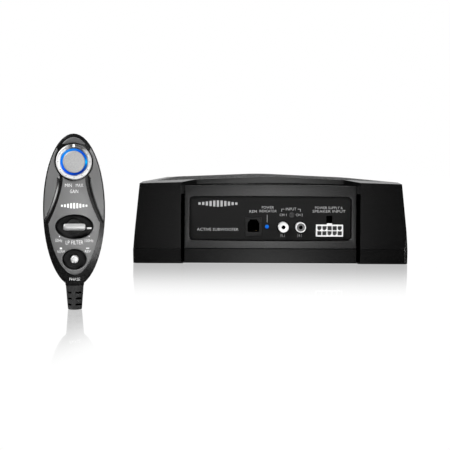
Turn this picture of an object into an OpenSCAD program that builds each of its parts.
// Powered car subwoofer with a wired level control.
// X runs across the cabinet, -Y is the connector side, +Z is up.
// The origin is the centre of the cabinet's underside.

/* [Cabinet] */
// Width of the tray at the parting seam
body_w = 226.2; // [225:0.1:230]
// Length from the connector side to the back
body_l = 320; // [320:1:360]
// Height of the crest of the roof
crest_z = 71; // [70.5:0.1:74]
// Height of the parting seam above the underside
seam_z = 12; // [10:0.5:14]
// Height of the eaves, where the sides meet the roof edge
eaves_z = 65.4; // [64:0.1:67]
// Lean of each side between the seam and the eaves
side_in = 5.3; // [2:0.1:8]
// Lean of the connector side and the back, in degrees
front_lean = 4; // [0:0.5:6]
// Wall thickness of the mouldings
wall = 2.5; // [2:0.1:3.5]
// Radius of the upright corners
corner_r = 5; // [4:0.5:10]

/* [Centre panels] */
// Half width of the centre panel
panel_half = 70.7; // [69.5:0.1:70.8]
// Half distance between the corner pillars
pillar_x = 73.5; // [73.2:0.1:76]
// Depth of the centre panel behind the pillars
panel_depth = 3.3; // [2:0.1:4]
// Depth of the upright grooves beside the panel
groove_depth = 8; // [6:0.5:9]
// Rise of the panel's arched top edge
panel_arch = 1; // [0:0.1:2]
// Width of the terminal recess
recess_w = 133.4; // [130:0.1:135]
// Height of the terminal recess
recess_h = 35.6; // [34:0.1:37]
// Height of the recess centre above the underside
recess_z = 36.75; // [36:0.05:38]

/* [Roof] */
// Half width of the roof cover
cover_half = 100; // [98:0.5:101]
// Distance of the cover's lip behind the cabinet's front
lip_back = 15.5; // [14:0.5:18]
// Half width of the lip between the pillars
lip_half = 61; // [58:0.5:64]
// Width of the grille
grille_w = 191; // [180:1:192]
// Length of the grille
grille_l = 267; // [240:1:268]
// Corner radius of the grille
grille_r = 12; // [8:1:20]

/* [Driver] */
// Distance of the driver's centre behind the cabinet's centre
driver_y = 45; // [44:0.5:46]
// Radius of the driver's mounting flange
flange_r = 97.4; // [97:0.1:97.6]
// Radius of the opening in the deck
cutout_r = 91; // [89:0.5:92]
// Travel of the cone either way from rest
cone_travel = 6; // [2:0.5:6]

/* [Remote control] */
// Place of the remote's face across the cabinet
remote_x = -119.45; // [-140:0.05:-100]
// Place of the remote's face along the cabinet
remote_y = -393.3; // [-420:0.1:-300]
// Turn of the remote about its upright axis, in degrees
remote_turn = 10; // [0:1:30]
// Half width of the remote
remote_a = 16.8; // [16.6:0.1:18]
// Height of the remote's oval above its widest point
remote_b = 41.6; // [41.4:0.1:42]
// Height of the remote's oval below its widest point
remote_low = 42.4; // [42.2:0.1:42.6]
// Height of the remote's widest point above the floor
remote_z = 55.3; // [55.2:0.1:56]
// Thickness of the remote's case
remote_t = 14; // [13:0.5:18]

/* [Hidden] */
$fn = 64;

half_w = body_w/2;
half_l = body_l/2;
seam_gap = 0.3;                      // height of the seam all round
tray_in = 0.4;                       // inward taper of the tray at the floor
shell_in = 0.35;                     // step of the shell inside the tray at the seam
tray_top = seam_z - seam_gap/2;
shell_bottom = seam_z + seam_gap/2;
roof_slope = 0.043;                  // fall of the roof per millimetre from the crest
roof_blend = 14;                     // half width of the rounded crest
edge_cut = 2;                        // chamfer between the side and the roof
deck_z = 60;                         // top of the deck that carries the driver
deck_t = 3;
ledge_z = 62.8;                      // ledge behind the centre panel
lip_z = 64.4;                        // lower edge of the cover's lip at its ends
lip_arch = 1.2;                      // rise of the lip's lower edge in the middle
roof_t = 2.5;                        // thickness of the cover
grille_t = 1;                        // thickness of the perforated sheet
grille_seat = 0.7;                   // depth of the grille's seat in the cover
inner_front = groove_depth + wall;   // first clear depth behind the grooves
inner_y = half_l - inner_front;      // half length of the clear inside

plate_y = -151.6;                    // face of the terminal plate
plate_t = 2;
flange_y = plate_y + plate_t;        // face of the plate's fixing flange
board_y = -137;                      // face of the terminal circuit board
board_t = 1.6;
jack_at = [-13.9, 29.6];             // modular jack, across and up
jack_low = -4.1;                     // floor of the jack's opening, from its centre
led_at = [-2.7, 29.8];
rca_left_at = [10.6, 29.7];
rca_right_at = [24.8, 29.7];
screw_at = [17.8, 39.6];
header_at = [48.8, 26.9];
header_pitch = 4.2;                  // contact pitch of the power header
header_cols = 5;
header_w = 22.2;
header_h = 9.8;
rca_r = 4.15;                        // outer radius of a phono barrel
rca_len = 6.5;                       // exposed length of a phono barrel
rca_hole_r = 5.2;                    // radius of the plate's hole round a phono jack
rca_neck_r = 3.95;                   // radius of the barrel where it passes the plate

bracket_x = 90;                      // half spacing of the bracket holes across
bracket_y = 130;                     // half spacing of the bracket holes along
bracket_r = 2.5;                     // radius of the bracket holes

floor_t = 3;                         // thickness of the tray's floor
groove_foot = 1.2;                   // height of the closed foot of the upright grooves
coil_r = 13.1;                       // mean radius of the voice coil former
cone_r = 80;                         // outer radius of the cone
coil_out = coil_r + 0.4;             // outside of the former, where the cone is glued
yoke_top = 10;                       // top of the yoke's plate
coil_low = yoke_top + cone_travel + 1;
coil_top = 42;
plate_top = 30.1;                    // top of the magnet's front plate
flange_top = deck_z + 1.6;           // top of the driver's flange
surround_z = flange_top + 0.05;      // underside of the surround's outer rim
roll_mid = 84;                       // mean radius of the surround's roll
roll_r = 4.2;
roll_t = 0.9;

face_r = 45;                         // crown radius of the remote's face
case_wall = 1.6;                     // wall of the remote's case
split_y = 7;                         // parting plane of the remote's case
back_y = remote_t;                   // back of the remote's case
skin = 0.8;                          // thickness of the remote's trim panels
knob_z = 81.5;                       // height of the gain knob's axis
knob_r = 9.5;
knob_gap = 0.8;                      // gap between the knob and the trim around it
glow_r = 7.65;                       // outer radius of the light ring
cap_r = 5.95;                        // radius of the knob's cap
filter_z = 46.2;                     // height of the filter knob's axis
filter_a = 10.2;                     // half width of the filter dish
filter_b = 6.6;                      // half height of the filter dish
phase_z = 28.2;                      // height of the phase button
phase_a = 6.5;
phase_b = 5.7;
waist_z = 72.1;                      // narrow part of the face panel
flare_z = 47.9;                      // wide part of the face panel
waist_half = 6;
flare_half = 13.9;
tip_z = 19.6;                        // lower tip of the face panel
relief_top = 13.4;                   // junction of the strain relief
relief_pitch = 3.35;
neck_r = 5.1;                        // radius of the case's neck above the strain relief
groove_w = 1.6;                      // width of the groove beside the face panel
case_screws = [36.7, 65];            // heights of the remote's case screws
lead_y = remote_t/2 + 0.5;           // depth of the lead's passage behind the face
lead_r = 1.8;                        // radius of the lead's passage

// ---- shared shapes ----

// Extrudes an X-Z outline along Y.
module along_y(y0, y1) {
    translate([0, y1, 0]) rotate([90, 0, 0]) linear_extrude(y1 - y0) children();
}

// Extrudes a Y-Z outline along X.
module along_x(x0, x1) {
    translate([x0, 0, 0]) rotate([90, 0, 90]) linear_extrude(x1 - x0) children();
}

// Box from two opposite corners.
module span(low, high) {
    translate(low) cube(high - low);
}

// Copies a shape onto the other side of the cabinet.
module both_sides() {
    children();
    mirror([1, 0, 0]) children();
}

// Copies a shape onto the other end of the cabinet.
module both_ends() {
    children();
    mirror([0, 1, 0]) children();
}

// Rectangle with round corners, centred.
module round_rect(w, h, r) {
    square([w - 2*r, h], center = true);
    square([w, h - 2*r], center = true);
    for (sx = [-1, 1], sy = [-1, 1])
        translate([sx*(w/2 - r), sy*(h/2 - r)]) circle(r);
}

// Hollow cylinder standing on its base.
module tube(outer, inner, h) {
    difference() {
        cylinder(r = outer, h = h);
        translate([0, 0, -1]) cylinder(r = inner, h = h + 2);
    }
}

// Cylinder along Y from y0 to y1 around the point [x, z].
module rod_y(at, r, y0, y1) {
    translate([at[0], y1, at[1]]) rotate([90, 0, 0]) cylinder(r = r, h = y1 - y0);
}

// Half width of the cabinet at a height.
function side_x(z) = z < seam_z
    ? half_w - tray_in*(1 - z/seam_z)
    : half_w - shell_in - side_in*(z - seam_z)/(eaves_z - seam_z);

// Half length of the cabinet at a height.
function end_y(z) = z < seam_z
    ? half_l - tray_in*(1 - z/seam_z)
    : half_l - tan(front_lean)*(z - seam_z);

// Height of the roof at a distance from its crest.
function roof(x) = abs(x) < roof_blend
    ? crest_z - roof_slope*x*x/(2*roof_blend)
    : crest_z - roof_slope*(abs(x) - roof_blend/2);

// Points along the roof between two half widths, lowered by drop.
function roof_line(half, drop) = [
    [-half, roof(half) - drop],
    for (i = [-4:4]) [i*roof_blend/4, roof(i*roof_blend/4) - drop],
    [half, roof(half) - drop]
];

// Points along an arch of half width half that rises in the middle.
function arch_line(half, z, rise) = [
    for (i = [-8:8]) [i*half/8, z + rise*(1 - i*i/64)]
];

// Leaning block of the cabinet between two heights, set in by inset.
module block(inset, z0, z1) {
    x0 = side_x(z0) - inset;
    x1 = side_x(z1) - inset;
    y0 = end_y(z0) - inset;
    y1 = end_y(z1) - inset;
    intersection() {
        along_y(-half_l, half_l) polygon([[-x0, z0], [x0, z0], [x1, z1], [-x1, z1]]);
        along_x(-half_w, half_w) polygon([[-y0, z0], [y0, z0], [y1, z1], [-y1, z1]]);
        translate([0, 0, z0]) linear_extrude(z1 - z0)
            round_rect(body_w - 2*inset, body_l - 2*inset, max(corner_r - inset, 1));
    }
}

// Leaning slab behind the front face, between two depths and two heights.
module front_slab(x0, x1, d0, d1, z0, z1) {
    along_x(x0, x1) polygon([
        [-end_y(z0) + d0, z0], [-end_y(z0) + d1, z0],
        [-end_y(z1) + d1, z1], [-end_y(z1) + d0, z1]
    ]);
}

// Block under the roof, from the eaves to the crest.
module roof_block() {
    top_half = side_x(eaves_z);
    intersection() {
        along_y(-half_l, half_l) polygon(concat(
            [[-top_half, eaves_z]], roof_line(top_half - edge_cut, 0), [[top_half, eaves_z]]
        ));
        block(0, eaves_z, crest_z + 1);
    }
}

// Space above the sloping border on top of one front pillar.
module border_space() {
    translate([side_x(eaves_z), -end_y(eaves_z), eaves_z]) rotate([9.5, 1.7, 0])
        translate([-60, -20, 0]) cube([80, 60, 20]);
}

// Plan of the notch between the two front pillars above the ledge.
module notch_plan() {
    polygon([
        [-pillar_x, -half_l - 1], [pillar_x, -half_l - 1], [pillar_x, -end_y(eaves_z)],
        [lip_half, -half_l + lip_back], [-lip_half, -half_l + lip_back],
        [-pillar_x, -end_y(eaves_z)]
    ]);
}

// Outline with gently bulging long edges and round corners.
module pillow(w, h, bulge, r) {
    half = w/2 - r;
    polygon(concat(
        arch_line(half, h/2, bulge),
        [for (a = [80:-10:-80]) [half + r*cos(a), (a > 0 ? 1 : -1)*(h/2 - r) + r*sin(a)]],
        [for (p = arch_line(half, h/2, bulge)) [-p[0], -p[1]]],
        [for (a = [-100:-10:-260]) [-half + r*cos(a), (a < -180 ? 1 : -1)*(h/2 - r) + r*sin(a)]]
    ));
}

// ---- cabinet ----

// Positions of the screws that close the cabinet.
screw_spots = [for (sx = [-1, 1], sy = [-1, 0, 1]) [sx*98, sy*138]];

module base_tray() {
    color([0.1, 0.1, 0.1]) difference() {
        block(0, 0, tray_top);
        difference() {
            block(wall, floor_t, seam_z);
            both_ends() span([-half_w, -half_l, 0], [half_w, -inner_y, seam_z]);
            for (p = screw_spots) translate([p[0], p[1], 0]) cylinder(r = 6, h = seam_z);
            for (sx = [-1, 1], sy = [-1, 1]) translate([sx*bracket_x, sy*bracket_y, 0])
                cylinder(r = 7, h = seam_z - 3);
        }
        both_ends() both_sides()
            front_slab(panel_half, pillar_x, -5, groove_depth, groove_foot, seam_z + 1);
        both_ends() front_slab(-panel_half - 1, panel_half + 1, -5, panel_depth, -1, seam_z + 1);
        for (p = screw_spots) translate([p[0], p[1], -1]) {
            cylinder(r = 2.1, h = seam_z + 2);
            cylinder(r = 4.4, h = 5);
        }
        for (sx = [-1, 1], sy = [-1, 1]) translate([sx*bracket_x, sy*bracket_y, -1])
            cylinder(r = 4, h = seam_z + 2);
    }
}

module upper_shell() {
    color([0.09, 0.09, 0.09]) difference() {
        union() {
            block(0, shell_bottom, eaves_z);
            roof_block();
        }
        both_ends() both_sides() border_space();
        difference() {
            block(wall, shell_bottom - 1, deck_z - deck_t);
            both_ends() both_sides()
                span([pillar_x, -half_l, 0], [pillar_x + wall, -inner_y, deck_z]);
            for (p = screw_spots) translate([p[0], p[1], 0]) cylinder(r = 5, h = deck_z);
        }
        both_ends() {
            front_slab(-pillar_x, pillar_x, -5, inner_front, shell_bottom - 1, deck_z - deck_t);
            front_slab(-pillar_x, pillar_x, -5, panel_depth + wall + 0.1, deck_z - 4, ledge_z + 1);
            translate([0, 0, ledge_z]) linear_extrude(20) notch_plan();
        }
        span([-cover_half, -half_l + lip_back, deck_z], [cover_half, half_l - lip_back, 80]);
        translate([0, driver_y, 0]) cylinder(r = cutout_r, h = 80);
        for (p = screw_spots) translate([p[0], p[1], 0]) cylinder(r = 1.5, h = 40);
        at_driver_screws() cylinder(r = 1.5, h = 80);
    }
}

module seam_gasket() {
    color([0.03, 0.03, 0.03]) difference() {
        block(1, tray_top, shell_bottom);
        difference() {
            block(wall, 0, seam_z + 5);
            both_ends() front_slab(-pillar_x - wall, pillar_x + wall, 0, inner_front - 0.2, 0, 20);
        }
        both_ends() front_slab(-pillar_x, pillar_x, -5, groove_depth + 0.5, 0, 20);
    }
}

module top_cover() {
    half = cover_half - 0.1;
    front = half_l - lip_back - 0.1;
    color([0.13, 0.13, 0.13]) difference() {
        along_y(-front, front)
            polygon(concat([[-half, deck_z]], roof_line(half, 0), [[half, deck_z]]));
        along_y(-front + 2, front - 2) polygon(concat(
            [[-half + 2, deck_z - 1]], roof_line(half - 2, roof_t), [[half - 2, deck_z - 1]]
        ));
        both_ends() along_y(-half_l, -front + 3) polygon(concat(
            [[-lip_half - 0.1, deck_z - 1]], arch_line(lip_half + 0.1, lip_z, lip_arch),
            [[lip_half + 0.1, deck_z - 1]]
        ));
        intersection() {
            along_y(-half_l, half_l) polygon(concat(
                [[-half, 90]], roof_line(half, grille_seat), [[half, 90]]
            ));
            linear_extrude(100) round_rect(grille_w + 0.4, grille_l + 0.4, grille_r + 0.2);
        }
        linear_extrude(100) round_rect(grille_w - 8, grille_l - 8, grille_r - 4);
    }
}

module grille_mesh() {
    half = grille_w/2;
    color([0.16, 0.16, 0.17]) intersection() {
        along_y(-half_l, half_l) polygon(concat(
            roof_line(half, grille_seat - grille_t),
            [for (i = [0:10]) roof_line(half, grille_seat)[10 - i]]
        ));
        linear_extrude(100) round_rect(grille_w, grille_l, grille_r);
    }
}

// Centre panel with its side returns and hidden fixing flanges.
module centre_panel() {
    return_t = 2;
    back = groove_depth + return_t;
    top = deck_z - deck_t;
    intersection() {
        union() {
            front_slab(-panel_half, panel_half, panel_depth, panel_depth + wall, shell_bottom, ledge_z + 3);
            both_sides() {
                front_slab(panel_half - return_t, panel_half, panel_depth, back, shell_bottom, top);
                front_slab(panel_half - return_t, pillar_x - 0.1, groove_depth, back, shell_bottom, top);
            }
        }
        along_y(-half_l, 0) polygon(concat(
            [[-pillar_x, 0]], arch_line(pillar_x, eaves_z - 2, panel_arch), [[pillar_x, 0]]
        ));
    }
}

module connector_panel() {
    rim = recess_w + 3.2;
    color([0.2, 0.2, 0.2]) difference() {
        union() {
            centre_panel();
            intersection() {
                along_y(-half_l, flange_y) translate([0, recess_z]) pillow(rim, recess_h + 3.2, 0.5, 5);
                front_slab(-half_w, half_w, panel_depth + 1, 40, shell_bottom, deck_z);
            }
        }
        along_y(-half_l - 5, 0) translate([0, recess_z]) pillow(recess_w, recess_h, 0.5, 3.4);
    }
}

module rear_panel() {
    color([0.15, 0.15, 0.15]) mirror([0, 1, 0]) centre_panel();
}

module terminal_plate() {
    color([0.1, 0.1, 0.1]) difference() {
        union() {
            along_y(plate_y, flange_y) translate([0, recess_z])
                pillow(recess_w - 1.2, recess_h - 1.2, 0.5, 3);
            along_y(flange_y, flange_y + 1.5) translate([0, recess_z])
                pillow(recess_w + 2.4, recess_h + 2.4, 0.5, 4.6);
        }
        along_y(plate_y - 1, plate_y + 9) {
            translate(jack_at) square([13.7, 15.7], center = true);
            translate(header_at) square([header_w + 0.2, header_h + 0.2], center = true);
            translate([header_at[0], 35.9]) square([4.9, 6.4], center = true);
        }
        rod_y(rca_left_at, rca_hole_r, plate_y - 1, plate_y + 9);
        rod_y(rca_right_at, rca_hole_r, plate_y - 1, plate_y + 9);
        rod_y(led_at, 1.6, plate_y - 1, plate_y + 9);
        rod_y(screw_at, 1.5, plate_y - 1, plate_y + 9);
    }
}

module base_screws() {
    color([0.3, 0.3, 0.32]) for (p = screw_spots) translate([p[0], p[1], 0]) difference() {
        union() {
            translate([0, 0, 1.2]) cylinder(r = 4, h = 2.8);
            translate([0, 0, 1.2]) cylinder(r = 1.45, h = 22);
        }
        translate([-2.5, -0.5, 0]) cube([5, 1, 2.6]);
        translate([-0.5, -2.5, 0]) cube([1, 5, 2.6]);
    }
}

module bracket_inserts() {
    color([0.75, 0.6, 0.3]) for (sx = [-1, 1], sy = [-1, 1])
        translate([sx*bracket_x, sy*bracket_y, 0.3]) tube(3.95, bracket_r, 8);
}

// ---- connectors ----

module modular_jack() {
    front = plate_y - 0.6;
    color([0.05, 0.05, 0.05]) difference() {
        along_y(front, board_y) translate(jack_at) square([13.5, 15.5], center = true);
        along_y(front - 1, board_y - 2) translate(jack_at) polygon([
            [-4.8, jack_low], [4.8, jack_low], [4.8, 3.2], [2.5, 6.3], [-2.5, 6.3], [-4.8, 3.2]
        ]);
    }
}

module jack_contacts() {
    color([0.8, 0.65, 0.3]) for (i = [0:5])
        translate([jack_at[0] + (i - 2.5)*1.02, 0, jack_at[1]]) {
            span([-0.2, board_y - 9, jack_low + 0.05], [0.2, board_y - 2.1, jack_low + 0.35]);
            span([-0.2, board_y - 9, jack_low + 0.05], [0.2, board_y - 8.7, jack_low + 1.4]);
        }
}

module power_led() {
    color([0.1, 0.5, 1]) union() {
        rod_y(led_at, 1.5, plate_y - 0.4, board_y);
        rod_y(led_at, 2, flange_y + 1.6, board_y);
    }
}

module rca_shell(at) {
    color([0.7, 0.7, 0.72]) difference() {
        union() {
            rod_y(at, rca_r, plate_y - rca_len, plate_y);
            rod_y(at, rca_neck_r, plate_y - 0.1, board_y);
            rod_y(at, rca_hole_r + 1, flange_y + 1.6, board_y);
        }
        rod_y(at, 3.4, plate_y - rca_len - 1, board_y - 2);
    }
}

module rca_insert(at) {
    difference() {
        rod_y(at, 3.35, plate_y - rca_len + 0.4, board_y - 2.05);
        rod_y(at, 1.65, plate_y - rca_len - 1, board_y - 4);
    }
}

module rca_left_shell() {
    rca_shell(rca_left_at);
}

module rca_left_insert() {
    color([0.9, 0.9, 0.9]) rca_insert(rca_left_at);
}

module rca_right_shell() {
    rca_shell(rca_right_at);
}

module rca_right_insert() {
    color([0.5, 0.5, 0.5]) rca_insert(rca_right_at);
}

module ground_screw() {
    color([0.3, 0.3, 0.3]) difference() {
        union() {
            rod_y(screw_at, 2.3, plate_y - 1.2, plate_y);
            rod_y(screw_at, 1.45, plate_y - 1, board_y - 0.1);
        }
        along_y(plate_y - 2, plate_y - 0.4) translate(screw_at) {
            square([2.8, 0.6], center = true);
            square([0.6, 2.8], center = true);
        }
    }
}

// Centre of a contact cell of the power header, across and up.
function header_cell(c, r) =
    [header_at[0] + (c - (header_cols - 1)/2)*header_pitch, header_at[1] + (r - 0.5)*header_pitch];

// Opening of a contact cell, with its lower corners cut off where it is keyed.
module header_opening(keyed) {
    half = 1.7;
    cut = 1;
    polygon(concat(
        [[-half, half], [half, half]],
        keyed ? [[half, cut - half], [half - cut, -half], [cut - half, -half], [-half, cut - half]]
            : [[half, -half], [-half, -half]]
    ));
}

module power_header() {
    front = plate_y - 3;
    color([0.88, 0.88, 0.86]) difference() {
        union() {
            along_y(front, board_y) translate(header_at)
                square([header_w, header_h], center = true);
            along_y(front + 0.4, plate_y - 0.1) translate([header_at[0], header_at[1] + header_h/2 + 0.5])
                square([4, 1.2], center = true);
        }
        along_y(front - 1, board_y - 2) for (c = [0:header_cols - 1], r = [0, 1])
            translate(header_cell(c, r)) header_opening(r == 1 ? c != 2 && c != 3 : c == 2 || c == 3);
    }
}

module header_pins() {
    color([0.75, 0.75, 0.72]) along_y(plate_y - 1, board_y - 2)
        for (c = [0:header_cols - 1], r = [0, 1]) translate(header_cell(c, r)) square(1.1, center = true);
}

module terminal_board() {
    color([0.05, 0.25, 0.12]) along_y(board_y, board_y + board_t)
        translate([20, 33]) square([92, 30], center = true);
}

// ---- amplifier ----

amp_low = [-84, -134, 21];
amp_high = [84, -62, 22.6];

module amp_board() {
    color([0.05, 0.25, 0.12]) span(amp_low, amp_high);
}

module heat_spreader() {
    color([0.6, 0.6, 0.62]) {
        span([-80, -130, floor_t], [80, -66, floor_t + 3]);
        for (x = [-72, 0, 72], y = [-122, -74])
            translate([x, y, floor_t]) cylinder(r = 3.5, h = amp_low[2] - floor_t);
        span([-60, -100, floor_t], [60, -92, 15]);
    }
}

module power_transistors() {
    color([0.1, 0.1, 0.1]) for (i = [0:3]) translate([-45 + 30*i, 0, 0])
        span([-5, -91.9, 7], [5, -87.4, amp_low[2]]);
}

module capacitors() {
    color([0.2, 0.2, 0.35]) for (i = [0:3])
        translate([-60 + 22*i, -80, amp_high[2]]) cylinder(r = 9, h = 28);
}

module choke_coil() {
    color([0.7, 0.4, 0.2]) translate([50, -86, amp_high[2] + 6])
        rotate_extrude() translate([12, 0]) circle(6);
}

module partition() {
    color([0.3, 0.3, 0.3]) difference() {
        intersection() {
            span([-half_w, -57, floor_t], [half_w, -54.5, deck_z - deck_t]);
            block(wall + 0.1, floor_t, deck_z);
        }
        rod_y([60, 45], 4, -60, -50);
    }
}

// ---- driver ----

module at_driver() {
    translate([0, driver_y, 0]) children();
}

// Places a shape at each of the driver's eight screws.
module at_driver_screws() {
    at_driver() for (a = [0:45:315]) rotate(a + 22.5) translate([flange_r - 3.2, 0, 0]) children();
}

module basket() {
    seat_r = 52;
    color([0.15, 0.15, 0.15]) at_driver() difference() {
        rotate_extrude() polygon([
            [cutout_r - 4, deck_z], [flange_r, deck_z], [flange_r, flange_top],
            [cutout_r - 6, flange_top], [cutout_r - 7.5, 50.5], [seat_r - 2, 33],
            [seat_r - 10, 33], [seat_r - 10, plate_top], [seat_r, plate_top], [cutout_r - 5, 48.5]
        ]);
        for (a = [0:60:300]) rotate(a + 15) translate([60, -11, 34]) cube([16, 22, 16]);
        translate([0, -driver_y, 0]) at_driver_screws() cylinder(r = 1.5, h = 80);
    }
}

module magnet() {
    color([0.2, 0.2, 0.2]) at_driver() translate([0, 0, yoke_top]) tube(50, 20, 26 - yoke_top);
}

module yoke() {
    color([0.6, 0.6, 0.62]) at_driver() {
        translate([0, 0, 5]) cylinder(r = 47, h = yoke_top - 5);
        translate([0, 0, 5]) cylinder(r = 12.4, h = plate_top - 5);
    }
}

module top_plate() {
    color([0.6, 0.6, 0.62]) at_driver() translate([0, 0, 26]) tube(46, 14.3, plate_top - 26);
}

module voice_coil() {
    color([0.7, 0.45, 0.2]) at_driver() translate([0, 0, coil_low])
        tube(coil_out, coil_r - 0.3, coil_top - coil_low);
}

module spider() {
    color([0.8, 0.7, 0.4]) at_driver() rotate_extrude() polygon([
        [coil_out, 37.2], [18, 37.2], [21, 36], [25, 37.6], [29, 36], [33, 37.6], [37, 36],
        [41, 36], [44, 33.1], [48, 33.1], [48, 33.9], [44.4, 33.9], [41.4, 36.8], [37.3, 36.8],
        [33, 38.4], [29, 36.8], [25, 38.4], [21, 36.8], [18.2, 38], [coil_out, 38]
    ]);
}

module cone() {
    color([0.06, 0.06, 0.06]) at_driver() rotate_extrude() polygon([
        [coil_out, 39], [coil_out + 1, 39], [cone_r - 4, 57], [cone_r, 58.2],
        [cone_r, 59.4], [cone_r - 5, 58.6], [coil_out, 41]
    ]);
}

module dust_cap() {
    rise = 6;
    cap = 30;
    ball = (cap*cap + rise*rise)/(2*rise);
    base = 41 + (cap - coil_out)*0.287 + 0.05;
    color([0.05, 0.05, 0.05]) at_driver() intersection() {
        translate([0, 0, base]) cylinder(r = cap, h = rise + 2);
        translate([0, 0, base + rise - ball]) difference() {
            sphere(ball, $fn = 96);
            sphere(ball - 1, $fn = 96);
        }
    }
}

module surround() {
    color([0.04, 0.04, 0.04]) at_driver() rotate_extrude() {
        intersection() {
            translate([roll_mid, surround_z]) difference() {
                circle(roll_r);
                circle(roll_r - roll_t);
            }
            translate([0, surround_z]) square([200, 20]);
        }
        translate([roll_mid + roll_r - roll_t, surround_z]) square([3.7, 0.8]);
        translate([roll_mid - roll_r, 59.45]) square([roll_t, surround_z - 59.3]);
        translate([cone_r - 4, 59.45]) square([roll_mid - roll_r - cone_r + 4.5, 0.8]);
    }
}

module driver_gasket() {
    color([0.05, 0.05, 0.05]) difference() {
        at_driver() translate([0, 0, surround_z]) tube(flange_r, 94, 1.2);
        at_driver_screws() cylinder(r = 3, h = 80);
    }
}

module driver_screws() {
    color([0.3, 0.3, 0.3]) at_driver_screws() {
        translate([0, 0, deck_z - 3]) cylinder(r = 1.4, h = 5);
        translate([0, 0, flange_top + 0.02]) cylinder(r = 2.8, h = 1.6);
    }
}

// ---- remote control ----

// Moves a shape from the remote's own frame, with its face at y = 0, to its place.
module at_remote() {
    translate([remote_x, remote_y, 0]) rotate(remote_turn) children();
}

// Points of an oval around [0, z].
function oval(a, b, z, n) = [for (i = [0:n - 1]) [a*cos(360*i/n), z + b*sin(360*i/n)]];

// The case's oval, a little longer below its widest point than above.
module case_outline(inset) {
    polygon([for (i = [0:6:354])
        [(remote_a - inset)*cos(i), remote_z + ((i < 180 ? remote_b : remote_low) - inset)*sin(i)]
    ]);
}

// Extra depth of the face towards its chin and its top.
function fall(z) = 0.003*pow(max(0, 46 - z), 2) + 0.019*pow(max(0, z - 88), 2);

// Everything behind the crowned face, pushed back by sink.
module crown(sink) {
    translate([0, face_r, 0]) rotate_extrude($fn = 128) polygon(concat(
        [[0, 10]],
        [for (z = [10, 16, 22, 28, 34, 40, 46, 88, 91, 94, 98]) [face_r - sink - fall(z), z]],
        [[0, 98]]
    ));
}

// Half width of the face panel between its waist and its flare.
function panel_edge(z) = waist_half
    + (flare_half - waist_half)*pow(max(0, (waist_z - z)/(waist_z - flare_z)), 1.5);

module panel_outline(grow) {
    n = 10;
    step = (knob_z - flare_z)/n;
    side = [for (i = [0:n]) [panel_edge(flare_z + i*step) + grow, flare_z + i*step]];
    drop = flare_z - tip_z + grow;
    foot = [for (a = [10:10:170]) [(flare_half + grow)*cos(a), flare_z - drop*pow(sin(a), 4/3)]];
    polygon(concat(
        [for (i = [n:-1:0]) side[i]], foot, [for (p = side) [-p[0], p[1]]]
    ));
}

// A trim panel: an outline laid over the crowned face.
module trim(front, back) {
    difference() {
        intersection() {
            along_y(-2, 8) children();
            crown(front);
        }
        crown(back);
    }
}

// Round hole through the face for the gain knob and its shaft.
module knob_hole(r) {
    rod_y([0, knob_z], r, -8, 12);
}

// The two oval cut-outs of the face.
module dish_outlines(grow) {
    polygon(oval(filter_a + grow, filter_b + grow, filter_z, 40));
    polygon(oval(phase_a + grow, phase_b + grow, phase_z, 32));
}

// Round neck at the foot of the case, cut off before y0 and behind y1.
module neck(y0, y1) {
    intersection() {
        translate([0, lead_y, relief_top]) cylinder(r = neck_r, h = 3);
        span([-neck_r, y0, 0], [neck_r, y1, 30]);
    }
}

// Space taken by the strain relief and the lead above it.
module lead_passage() {
    translate([0, 0, -1]) cylinder(r = 60, h = relief_top + 1);
    translate([0, lead_y, 0]) cylinder(r = lead_r + 0.3, h = relief_top + 4);
}

module remote_front_shell() {
    color([0.04, 0.04, 0.04]) at_remote() difference() {
        intersection() {
            union() {
                along_y(0, split_y) case_outline(0);
                neck(0, split_y);
            }
            crown(skin);
        }
        difference() {
            intersection() {
                along_y(0, split_y + 1) case_outline(case_wall);
                crown(skin + case_wall);
            }
            for (z = case_screws) rod_y([0, z], 2.6, 0, split_y);
        }
        for (z = case_screws) rod_y([0, z], 1.2, 3.6, split_y + 1);
        along_y(-1, split_y + 1) dish_outlines(0.1);
        knob_hole(4);
        lead_passage();
    }
}

module remote_rear_shell() {
    color([0.04, 0.04, 0.04]) at_remote() difference() {
        union() {
            along_y(split_y, back_y) case_outline(0);
            neck(split_y, back_y);
        }
        difference() {
            along_y(split_y - 1, back_y - case_wall) case_outline(case_wall);
            for (z = case_screws) rod_y([0, z], 2.6, split_y, back_y);
        }
        for (z = case_screws) {
            rod_y([0, z], 1.2, split_y - 1, back_y + 1);
            rod_y([0, z], 2, back_y - 2, back_y + 1);
        }
        lead_passage();
    }
}

module face_panel() {
    color([0.35, 0.35, 0.35]) at_remote() difference() {
        trim(0, skin) difference() {
            panel_outline(0);
            dish_outlines(0.1);
        }
        knob_hole(knob_r + knob_gap);
    }
}

// Side wing between the case's edge and the panel's groove; side is -1 or 1.
module wing(side) {
    at_remote() difference() {
        trim(0, skin) intersection() {
            difference() {
                case_outline(0.7);
                panel_outline(groove_w);
            }
            translate([side > 0 ? 0 : -40, flare_z - 1]) square([40, 44]);
        }
        knob_hole(knob_r + knob_gap);
    }
}

module wing_left() {
    color([0.4, 0.4, 0.4]) wing(-1);
}

module wing_right() {
    color([0.4, 0.4, 0.4]) wing(1);
}

module top_crescent() {
    color([0.25, 0.25, 0.25]) at_remote() difference() {
        trim(0, skin) intersection() {
            case_outline(1.8);
            translate([-6.7, 91]) square([13.4, 8]);
        }
        knob_hole(knob_r + knob_gap);
    }
}

// Oval dish with a floor; a and b are its half sizes.
module dish(a, b, z, hole) {
    floor_y = 3.6 + fall(z);
    difference() {
        intersection() {
            along_y(0, floor_y + 1.4) polygon(oval(a, b, z, 40));
            crown(0.3);
        }
        along_y(-1, floor_y) polygon(oval(a - 1, b - 1, z, 40));
        rod_y([0, z], hole, 0, 8);
    }
}

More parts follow.
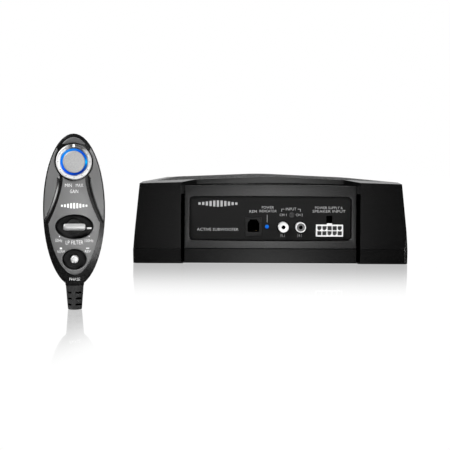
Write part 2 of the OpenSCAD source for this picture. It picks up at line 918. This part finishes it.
module filter_dish() {
    color([0.03, 0.03, 0.03]) at_remote() dish(filter_a, filter_b, filter_z, 1.8);
}

module phase_dish() {
    color([0.03, 0.03, 0.03]) at_remote() dish(phase_a, phase_b, phase_z, 2.22);
}

module remote_board() {
    color([0.05, 0.3, 0.12]) at_remote() along_y(10.4, 12) difference() {
        polygon(oval(remote_a - 2.2, remote_b - 4, remote_z, 60));
        for (z = case_screws) translate([0, z]) circle(2.8);
    }
}

module gain_pot() {
    color([0.2, 0.3, 0.5]) at_remote() difference() {
        rod_y([0, knob_z], 5.5, 4.6, 10.4);
        rod_y([0, knob_z], 1.53, 0, 9);
    }
}

module gain_shaft() {
    color([0.7, 0.7, 0.7]) at_remote() rod_y([0, knob_z], 1.5, -2, 8.9);
}

module knob_ring() {
    color([0.8, 0.8, 0.8]) at_remote() difference() {
        rod_y([0, knob_z], knob_r, -4.5, -0.4);
        rod_y([0, knob_z], glow_r, -9, -2);
        rod_y([0, knob_z], 1.5, -9, 5);
    }
}

module light_ring() {
    color([0, 0.3, 1]) at_remote() difference() {
        rod_y([0, knob_z], glow_r - 0.02, -4, -2);
        rod_y([0, knob_z], cap_r, -9, 5);
    }
}

module knob_cap() {
    color([0.6, 0.6, 0.6]) at_remote() difference() {
        rod_y([0, knob_z], cap_r - 0.02, -5.4, -2.02);
        rod_y([0, knob_z], 1.5, -3, 5);
    }
}

module filter_pot() {
    color([0.2, 0.3, 0.5]) at_remote() difference() {
        rod_y([0, filter_z], 4.5, 5.1, 10.4);
        rod_y([0, filter_z], 1.53, 0, 9);
    }
}

module filter_knob() {
    color([0.75, 0.75, 0.75]) at_remote() {
        rod_y([0, filter_z], 4.3, -0.6, 3.3);
        rod_y([0, filter_z], 1.5, -1, 8.9);
        along_y(-2.6, -0.4) translate([0, filter_z])
            square([12.2, 3.7], center = true);
        along_y(-1.2, -0.4) translate([5.9, filter_z - 1.3])
            square([3.4, 1.1]);
    }
}

module phase_switch() {
    color([0.1, 0.1, 0.1]) at_remote() along_y(7.4, 10.4)
        translate([0, phase_z]) square([6, 6], center = true);
}

module phase_button() {
    color([0.8, 0.8, 0.8]) at_remote() {
        rod_y([0, phase_z], 2.15, fall(phase_z) - 0.2, 5.4);
        rod_y([0, phase_z], 1.2, 5.3, 5.7);
    }
}

module remote_screws() {
    color([0.3, 0.3, 0.3]) at_remote() for (z = case_screws) difference() {
        union() {
            rod_y([0, z], 1.15, split_y - 3, back_y - 1);
            rod_y([0, z], 1.9, back_y - 1.95, back_y - 0.4);
        }
        along_y(back_y - 1.2, back_y) translate([0, z]) {
            square([2.2, 0.5], center = true);
            square([0.5, 2.2], center = true);
        }
    }
}

// Slots on both sides of the strain relief's spine, at a height above its foot.
module relief_slot(z) {
    slot_h = 1.1;
    spine = [-1.8, 0.4];
    for (turn = [0, 180]) rotate(turn) {
        span([-6, -8, z], [spine[0], -2.3, z + slot_h]);
        span([spine[1], -8, z], [6, -2.3, z + slot_h]);
    }
}

// Moulded tapered sleeve with ribs that the remote's lead passes through.
module strain_relief() {
    color([0.08, 0.08, 0.08]) at_remote() translate([0, lead_y, 0]) difference() {
        cylinder(r1 = 3.85, r2 = 4.9, h = relief_top);
        for (i = [1:3]) relief_slot(i*relief_pitch - 1.1);
        translate([0, 0, -1]) cylinder(r = lead_r, h = relief_top + 2);
    }
}

base_tray();
upper_shell();
seam_gasket();
top_cover();
grille_mesh();
connector_panel();
rear_panel();
terminal_plate();
base_screws();
bracket_inserts();
modular_jack();
jack_contacts();
power_led();
rca_left_shell();
rca_left_insert();
rca_right_shell();
rca_right_insert();
ground_screw();
power_header();
header_pins();
terminal_board();
amp_board();
heat_spreader();
power_transistors();
capacitors();
choke_coil();
partition();
basket();
magnet();
yoke();
top_plate();
voice_coil();
spider();
cone();
dust_cap();
surround();
driver_gasket();
driver_screws();
remote_rear_shell();
remote_front_shell();
face_panel();
wing_left();
wing_right();
top_crescent();
filter_dish();
phase_dish();
remote_board();
gain_pot();
gain_shaft();
knob_ring();
light_ring();
knob_cap();
filter_pot();
filter_knob();
phase_switch();
phase_button();
remote_screws();
strain_relief();
